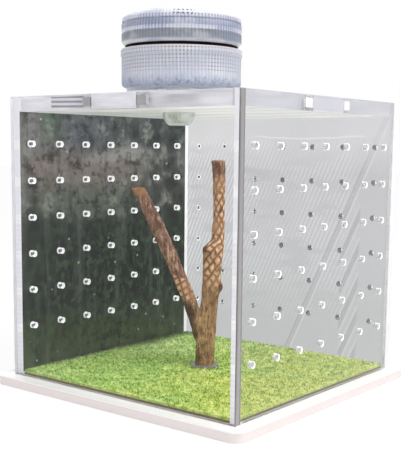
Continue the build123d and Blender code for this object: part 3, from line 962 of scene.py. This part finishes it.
def lathe(name, outline, segments):
    """A closed mesh turned about the jar's axis from a closed outline of radius and height."""
    corners, faces, starts = [], [], []
    for radius, height in outline:
        starts.append(len(corners))
        ring = segments if radius > 0 else 1
        for step in range(ring):
            turn = math.tau * step / segments
            corners.append((radius * math.cos(turn), radius * math.sin(turn), height))
    for index, (radius, _) in enumerate(outline):
        follow = (index + 1) % len(outline)
        here = range(segments) if radius > 0 else [0] * segments
        there = range(segments) if outline[follow][0] > 0 else [0] * segments
        for step in range(segments):
            beside = (step + 1) % segments
            face = [
                starts[index] + here[step],
                starts[index] + here[beside],
                starts[follow] + there[beside],
                starts[follow] + there[step],
            ]
            face = list(dict.fromkeys(face))
            if len(face) > 2:
                faces.append(face)
    mesh = bpy.data.meshes.new(name)
    mesh.from_pydata(corners, [], faces)
    mesh.validate()
    mesh.polygons.foreach_set("use_smooth", [True] * len(mesh.polygons))
    return mesh


def climb(radius, start, end):
    """Points up or down a threaded wall, close enough together to carry its thread."""
    steps = math.ceil(abs(end - start) / THREAD_STEP)
    return [(radius, start + (end - start) * step / steps) for step in range(steps + 1)]


def offsets(radius, height, *steps):
    """Points at steps in millimetres, inwards and up, from a radius and a height."""
    return [(radius - inwards * MM, height + up * MM) for inwards, up in steps]


def applied(name, mesh, tree_group, inputs):
    """A mesh passed through a Geometry Nodes tree, with the result as a plain mesh."""
    carrier = new_object(name + "_carrier", mesh)
    modifier = carrier.modifiers.new("nodes", "NODES")
    modifier.node_group = tree_group
    for item in tree_group.interface.items_tree:
        if item.item_type == "SOCKET" and item.in_out == "INPUT" and item.name in inputs:
            modifier[item.identifier] = inputs[item.name]
    result = evaluated_mesh(carrier)
    result.name = name
    return result


def new_tree(name, numbers):
    """A Geometry Nodes tree with a mesh in and out and named numbers in."""
    group = bpy.data.node_groups.new(name, "GeometryNodeTree")
    group.interface.new_socket("Geometry", in_out="INPUT", socket_type="NodeSocketGeometry")
    for label, value in numbers.items():
        socket = group.interface.new_socket(
            label, in_out="INPUT", socket_type="NodeSocketFloat"
        )
        socket.default_value = value
    group.interface.new_socket("Geometry", in_out="OUTPUT", socket_type="NodeSocketGeometry")
    tree = Tree(group)
    source = tree.add("NodeGroupInput").socket.node
    given = {output.name: Wire(tree, output) for output in source.outputs if output.name}
    return group, tree, given


def ribs_and_thread():
    """A tree that raises upright ribs on a turned wall and a helical ridge on its thread wall."""
    group, tree, given = new_tree(
        "ribs_and_thread",
        {
            "Rib Count": RIB_COUNT,
            "Rib Depth": RIB_DEPTH,
            "Rib Radius": 0.02,
            "Rib Low": 0.0,
            "Rib High": 1.0,
            "Plain Low": 0.0,
            "Plain High": 0.0,
            "Thread Radius": 0.018,
            "Thread Depth": THREAD_DEPTH,
            "Thread Low": 0.0,
        },
    )
    place = tree.add("GeometryNodeInputPosition")
    x, y, z = tree.parts(place)
    radius = (x * x + y * y) ** 0.5
    turn = tree.turn_about(x, y) / math.tau

    soft = 0.25 * MM
    outer = radius.above(given["Rib Radius"] - 0.6 * MM)
    banded = z.ramp(given["Rib Low"], given["Rib Low"] + soft)
    banded = banded * z.ramp(given["Rib High"], given["Rib High"] - soft)
    plain = z.ramp(given["Plain Low"] - soft, given["Plain Low"])
    plain = plain * z.ramp(given["Plain High"] + soft, given["Plain High"])
    wave = turn.math("COSINE", turn * given["Rib Count"] * math.tau) * 0.5 - 0.5
    rib = wave * given["Rib Depth"] * outer * banded * (1 - plain)

    lead = turn - turn.math("FLOOR", turn)
    climbed = (z - given["Thread Low"]) / THREAD_PITCH - lead
    coil = climbed.rounded()
    off_centre = abs(climbed - coil) * THREAD_PITCH
    ridge = off_centre.ramp(THREAD_BASE_HALF, THREAD_TIP_HALF)
    along = coil + lead
    run = along.ramp(0.0, 0.1) * along.ramp(THREAD_TURNS, THREAD_TURNS - 0.1)
    on_wall = abs(radius - given["Thread Radius"]).below(0.05 * MM)
    thread = ridge * run * on_wall * given["Thread Depth"]

    outward = tree.add(
        "ShaderNodeVectorMath",
        {"operation": "NORMALIZE"},
        {0: tree.add("ShaderNodeCombineXYZ", None, {0: x, 1: y})},
    )
    moved = tree.add(
        "ShaderNodeVectorMath",
        {"operation": "SCALE"},
        {0: outward, "Scale": rib + thread},
    )
    shaped = tree.add(
        "GeometryNodeSetPosition", None, {"Geometry": given["Geometry"], "Offset": moved}
    )
    tree.add("NodeGroupOutput", None, {"Geometry": shaped})
    return group


def scattered_blades(blade, material):
    """A tree that stands copies of one blade on a mat, turned and sized at random."""
    group, tree, given = new_tree("scattered_blades", {"Count": BLADES, "Mat Area": 0.0087})
    points = tree.add(
        "GeometryNodeDistributePointsOnFaces",
        {"distribute_method": "RANDOM"},
        {
            "Mesh": given["Geometry"],
            "Density": given["Count"] / given["Mat Area"],
            "Seed": TURF_SEED,
        },
    )
    source = tree.add("GeometryNodeObjectInfo", None, {"Object": blade}, output="Geometry")
    turned = tree.add(
        "FunctionNodeRandomValue",
        {"data_type": "FLOAT_VECTOR"},
        {0: (-0.35, -0.35, 0.0), 1: (0.35, 0.35, math.tau), "Seed": TURF_SEED + 1},
    )
    sized = tree.add(
        "FunctionNodeRandomValue",
        {"data_type": "FLOAT"},
        {2: 0.6, 3: 1.15, "Seed": TURF_SEED + 2},
        output=1,
    )
    stood = tree.add(
        "GeometryNodeInstanceOnPoints",
        None,
        {"Points": points, "Instance": source, "Rotation": turned, "Scale": sized},
    )
    real = tree.add("GeometryNodeRealizeInstances", None, {"Geometry": stood})
    dressed = tree.add(
        "GeometryNodeSetMaterial", None, {"Geometry": real, "Material": material}
    )
    tree.add("NodeGroupOutput", None, {"Geometry": dressed})
    return group


# Nest jar and socket
def jar_outline():
    """Up the neck, out along the shoulder, up the ribbed wall, and back down the inside."""
    outer, neck, low, top = JAR_HIGH.x, NECK_RADIUS, JAR_LOW.z, JAR_HIGH.z
    bore = neck - NECK_WALL
    inner = outer - JAR_WALL
    return [
        (bore, low + 0.1 * MM),
        (bore + 0.1 * MM, low),
        (neck - 0.1 * MM, low),
        *climb(neck, low + 0.1 * MM, SHOULDER - 0.2 * MM),
        (neck + 0.2 * MM, SHOULDER),
        *offsets(outer, SHOULDER, (1.15, 0), (0.9, 0.1), (0.1, 1.1), (0, 1.3), (0, 1.6)),
        *offsets(outer, SHOULDER, (0, 3.5), (0, 3.9), (0.15, 4.1), (0.15, 4.6), (0, 4.8)),
        *offsets(outer, SHOULDER, (0, 5.2), (0, 5.5), (0, 7.0), (0.5, 7.3), (0.2, 7.6)),
        *offsets(outer, top, (0.2, -2.2), (0.2, -1.9), (0.5, -1.6), (3.2, -0.15), (3.8, 0)),
        (0.0, top),
        (0.0, top - JAR_WALL),
        (inner - 3.5 * MM, top - JAR_WALL),
        *offsets(inner, top, (0.3, -3.4), (0, -3.8)),
        *offsets(inner, SHOULDER, (0, 2.0), (0.4, 1.7)),
        (bore, SHOULDER + 1.7 * MM),
    ]


def socket_outline():
    """Along the underside, up the ribbed wall and its rim, and down the threaded inside."""
    outer, rim, root = SOCKET_WALL_RADIUS, SOCKET_HIGH.x, SOCKET_ROOT_RADIUS
    low, top = SOCKET_LOW.z, SOCKET_HIGH.z
    floor = low + 1.6 * MM
    return [
        (PORT_HOLE, low),
        *offsets(outer, low, (1.6, 0), (0.7, 0.35), (0.15, 1.0), (0, 1.7), (0, 2.0)),
        *offsets(outer, top, (0, -2.9), (0, -2.6)),
        *offsets(rim, top, (0, -2.2), (0, -0.4), (0.3, 0)),
        (root + 0.2 * MM, top),
        *climb(root, top - 0.2 * MM, floor + 0.6 * MM),
        (root - 0.6 * MM, floor),
        (PORT_HOLE, floor),
    ]


def threaded_shell(name, outline, material, tree, sizes, body, node):
    """A half of the jar, turned about the port, with its ribs and its thread raised."""
    mesh = lathe(name, outline, RIB_COUNT * STEPS_PER_RIB)
    mesh = applied(name, mesh, tree, sizes)
    mesh.transform(Matrix.Translation((0, PORT_Y, 0)))
    return mesh_piece(name, mesh, material, body, "clear_jar", node)


def make_jar(material, tree):
    sizes = {
        "Rib Radius": JAR_HIGH.x,
        "Rib Low": SHOULDER + 1.3 * MM,
        "Rib High": JAR_HIGH.z - 1.9 * MM,
        "Plain Low": SHOULDER + 3.8 * MM,
        "Plain High": SHOULDER + 5.2 * MM,
        "Thread Radius": NECK_RADIUS,
        "Thread Low": THREAD_START,
    }
    threaded_shell("nest_jar_shell", jar_outline(), material, tree, sizes, "jar", "nest_jar")


def make_socket(material, tree):
    sizes = {
        "Rib Radius": SOCKET_WALL_RADIUS,
        "Rib Low": SOCKET_LOW.z + 0.8 * MM,
        "Rib High": SOCKET_HIGH.z - 2.6 * MM,
        "Thread Radius": SOCKET_ROOT_RADIUS,
        "Thread Depth": -THREAD_DEPTH,
        "Thread Low": THREAD_START + THREAD_PITCH / 2,
    }
    name = "screw_socket_shell"
    threaded_shell(name, socket_outline(), material, tree, sizes, "lid", "jar_socket")


# Turf
def blade_object():
    """One bent, three-sided blade that stands on the origin."""
    shape = bmesh.new()
    rings = []
    for height, width, lean in ((0.0, 0.5, 0.0), (0.6, 0.36, 0.15)):
        turns = [math.tau * corner / 3 for corner in range(3)]
        rings.append(
            [
                shape.verts.new(
                    (
                        BLADE_WIDTH * width * math.cos(turn) + lean * BLADE_HEIGHT,
                        BLADE_WIDTH * width * math.sin(turn) * 0.6,
                        BLADE_HEIGHT * height,
                    )
                )
                for turn in turns
            ]
        )
    tip = shape.verts.new((0.5 * BLADE_HEIGHT, 0, BLADE_HEIGHT))
    low, high = rings
    for corner in range(3):
        follow = (corner + 1) % 3
        shape.faces.new((low[corner], low[follow], high[follow], high[corner]))
        shape.faces.new((high[corner], high[follow], tip))
    return new_object("blade", mesh_of("blade", shape))


def mat_mesh(hole, margin, height):
    """A flat mat, inset by a margin, with a round hole for the branch's ring."""
    shape = bmesh.new()
    low, high = TURF_LOW, TURF_HIGH
    corners = [
        (low.x + margin, low.y + margin),
        (high.x - margin, low.y + margin),
        (high.x - margin, high.y - margin),
        (low.x + margin, high.y - margin),
    ]
    count = 48
    square, circle = [], []
    for step in range(count):
        turn = math.tau * (step + 0.5) / count - math.pi * 0.75
        side = step * 4 // count
        share = (step * 4 / count) % 1
        ends = zip(corners[side], corners[(side + 1) % 4])
        x, y = [start + (end - start) * share for start, end in ends]
        square.append(shape.verts.new((x, y, height)))
        x, y = BRANCH_FOOT.x + hole * math.cos(turn), BRANCH_FOOT.y + hole * math.sin(turn)
        circle.append(shape.verts.new((x, y, height)))
    for step in range(count):
        follow = (step + 1) % count
        shape.faces.new((square[step], square[follow], circle[follow], circle[step]))
    bmesh.ops.recalc_face_normals(shape, faces=shape.faces)
    if sum(face.normal.z for face in shape.faces) < 0:
        bmesh.ops.reverse_faces(shape, faces=shape.faces)
    return mesh_of("mat", shape)


def make_turf(material):
    ring_radius = (RING_HIGH.x - RING_LOW.x) / 2
    root_height = TURF_LOW.z + MAT_THICKNESS
    blade = blade_object()
    tree = scattered_blades(blade, material)
    sown = mat_mesh(ring_radius + 0.5 * MM, 0.5 * MM, root_height - 0.1 * MM)
    blades = applied("turf_blades", sown, tree, {})
    bpy.data.objects.remove(blade)
    mat = mat_mesh(ring_radius + 0.3 * MM, 0.0, root_height)
    shape = bmesh.new()
    shape.from_mesh(mat)
    bottom = bmesh.ops.extrude_face_region(shape, geom=list(shape.faces))["geom"]
    for vertex in bottom:
        if isinstance(vertex, bmesh.types.BMVert):
            vertex.co.z = TURF_LOW.z
    bmesh.ops.recalc_face_normals(shape, faces=shape.faces)
    shape.from_mesh(blades)
    whole = mesh_of("turf_blades", shape)
    return mesh_piece("turf_blades", whole, material, "root", "turf_blades", "turf_pile")


# Branch
def knot_lift(place):
    """How far the bark stands out near the knots, in millimetres, at a place in millimetres."""
    x, y = place.x - BRANCH_FOOT.x / MM, place.y - BRANCH_FOOT.y / MM
    side = x * math.cos(FORK_TURN) + y * math.sin(FORK_TURN)
    lift = 0.0
    for knot_side, knot_height, reach, height in KNOTS:
        away = math.hypot(side - knot_side, (place.z - knot_height) * 0.7)
        lift += height * math.exp(-((away / reach) ** 2) * 2)
    return lift


def make_branch(material):
    """The forked branch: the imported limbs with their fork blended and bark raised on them."""
    shape = bmesh.new()
    shape.from_mesh(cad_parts["branch"].data)
    bmesh.ops.remove_doubles(shape, verts=shape.verts, dist=1e-6)
    carrier = new_object("branch_carrier", mesh_of("branch_limbs", shape))
    remesh = carrier.modifiers.new("remesh", "REMESH")
    remesh.mode = "VOXEL"
    remesh.voxel_size = BARK_VOXEL
    remesh.use_smooth_shade = True
    smooth = carrier.modifiers.new("smooth", "SMOOTH")
    smooth.factor = 0.5
    smooth.iterations = 3
    wood = evaluated_mesh(carrier)
    moved = []
    for vertex in wood.vertices:
        place = vertex.co / MM
        grain = noise.fractal(Vector((place.x * 1.1, place.y * 1.1, place.z * 0.28)), 1.0, 2.0, 4)
        lump = noise.noise(place * 0.35)
        height = (grain * GRAIN_RELIEF + lump * LUMP_RELIEF + knot_lift(place)) * MM
        moved.extend(vertex.co + vertex.normal * height)
    wood.vertices.foreach_set("co", moved)
    return mesh_piece("forked_branch", wood, material, "root", "branch_wood", "branch")


# Studio
def make_camera():
    yaw, pitch, roll = map(math.radians, (CAMERA_YAW, CAMERA_PITCH, CAMERA_ROLL))
    forward = Vector(
        (math.sin(yaw) * math.cos(pitch), math.cos(yaw) * math.cos(pitch), math.sin(pitch))
    )
    level = Vector((math.cos(yaw), -math.sin(yaw), 0))
    over = level.cross(forward)
    right = math.cos(roll) * level + math.sin(roll) * over
    up = math.cos(roll) * over - math.sin(roll) * level
    data = bpy.data.cameras.new("camera")
    data.sensor_width = SENSOR
    data.lens = FOCAL_PIXELS / max(IMAGE_SIZE) * SENSOR
    data.shift_y = HORIZON_SHIFT_PIXELS / max(IMAGE_SIZE)
    data.clip_start = 0.01
    camera = new_object("camera", data)
    rotation = Matrix((right, up, -forward)).transposed().to_4x4()
    camera.matrix_world = Matrix.Translation(CAMERA_PLACE) @ rotation
    bpy.context.scene.camera = camera


def add_lamp(name, place, size, power):
    """A round lamp that looks at the middle of the box."""
    data = bpy.data.lights.new(name, "AREA")
    data.shape = "DISK"
    data.size = size
    data.energy = power
    lamp = new_object(name, data)
    lamp.location = place
    lamp.rotation_euler = (LAMP_AIM - Vector(place)).to_track_quat("-Z", "Y").to_euler()


def seen_white(tree, shade, white):
    """White for what looks straight at it or through glass, and shade for the light it sends."""
    path = tree.add("ShaderNodeLightPath", output="Is Camera Ray")
    outputs = path.socket.node.outputs
    seen = path.most(Wire(tree, outputs["Is Glossy Ray"]))
    seen = seen.most(Wire(tree, outputs["Is Transmission Ray"]))
    return tree.add("ShaderNodeMixShader", None, {0: seen, 1: shade, 2: white})


def make_world(strength):
    world = bpy.data.worlds.new("studio")
    world.use_nodes = True
    world.node_tree.nodes.clear()
    tree = Tree(world.node_tree)
    white = tree.add("ShaderNodeBackground", None, {"Color": (1, 1, 1, 1), "Strength": 1.0})
    soft = tree.add(
        "ShaderNodeBackground", None, {"Color": (0.98, 0.98, 1, 1), "Strength": strength}
    )
    tree.add("ShaderNodeOutputWorld", None, {"Surface": seen_white(tree, soft, white)})
    bpy.context.scene.world = world


def make_floor():
    mesh = bpy.data.meshes.new("floor")
    corners = [(-1, -1, 0), (1, -1, 0), (1, 1, 0), (-1, 1, 0)]
    mesh.from_pydata([Vector(corner) * FLOOR_REACH for corner in corners], [], [(0, 1, 2, 3)])
    floor = new_object("floor", mesh)
    finish = Finish("pale_floor")
    paper = finish.add(
        "ShaderNodeBsdfDiffuse", None, {"Color": (0.9, 0.9, 0.9, 1), "Roughness": 0.5}
    )
    glow = finish.add("ShaderNodeEmission", None, {"Color": (1, 1, 1, 1), "Strength": 1.0})
    lifted = finish.add("ShaderNodeMixShader", None, {0: FLOOR_GLOW, 1: paper, 2: glow})
    mesh.materials.append(finish.finish(seen_white(finish, paper, lifted)))


def set_render_limits():
    scene = bpy.context.scene
    scene.view_settings.view_transform = "Standard"
    scene.cycles.max_bounces = 24
    scene.cycles.transmission_bounces = 24
    scene.cycles.glossy_bounces = 8
    scene.cycles.transparent_max_bounces = 40
    scene.cycles.diffuse_bounces = 4


def paint_node(node, material):
    """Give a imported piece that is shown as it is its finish."""
    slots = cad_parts[node].data.materials
    slots.clear()
    slots.append(material)


def main():
    make_camera()
    make_world(SKY_LIGHT)
    make_floor()
    for lamp in LAMPS:
        add_lamp(*lamp)
    set_render_limits()

    side = side_acrylic()
    metal = nickel()
    fitting = clear_fitting()
    finishes = {
        "front_panel": front_acrylic(),
        "back_panel": back_acrylic(),
        "left_panel": side,
        "right_panel": side,
        "lid_panel": lid_acrylic(),
        "base_plate": white_acrylic(),
        "background_film": mottled_film(),
        "turf_backing": turf_latex(),
        "wall_magnets": metal,
        "lid_magnets": metal,
        "branch_screw": zinc_steel(),
        "branch_ring": fitting,
        "jar_seat": fitting,
        "feed_nozzle": nozzle_plastic(),
        "jar_gasket": black_rubber(),
    }
    for node, material in finishes.items():
        paint_node(node, material)

    tree = ribs_and_thread()
    make_socket(socket_plastic(), tree)
    make_jar(jar_plastic(), tree)
    make_turf(turf_fibre())
    make_branch(bark())


main()
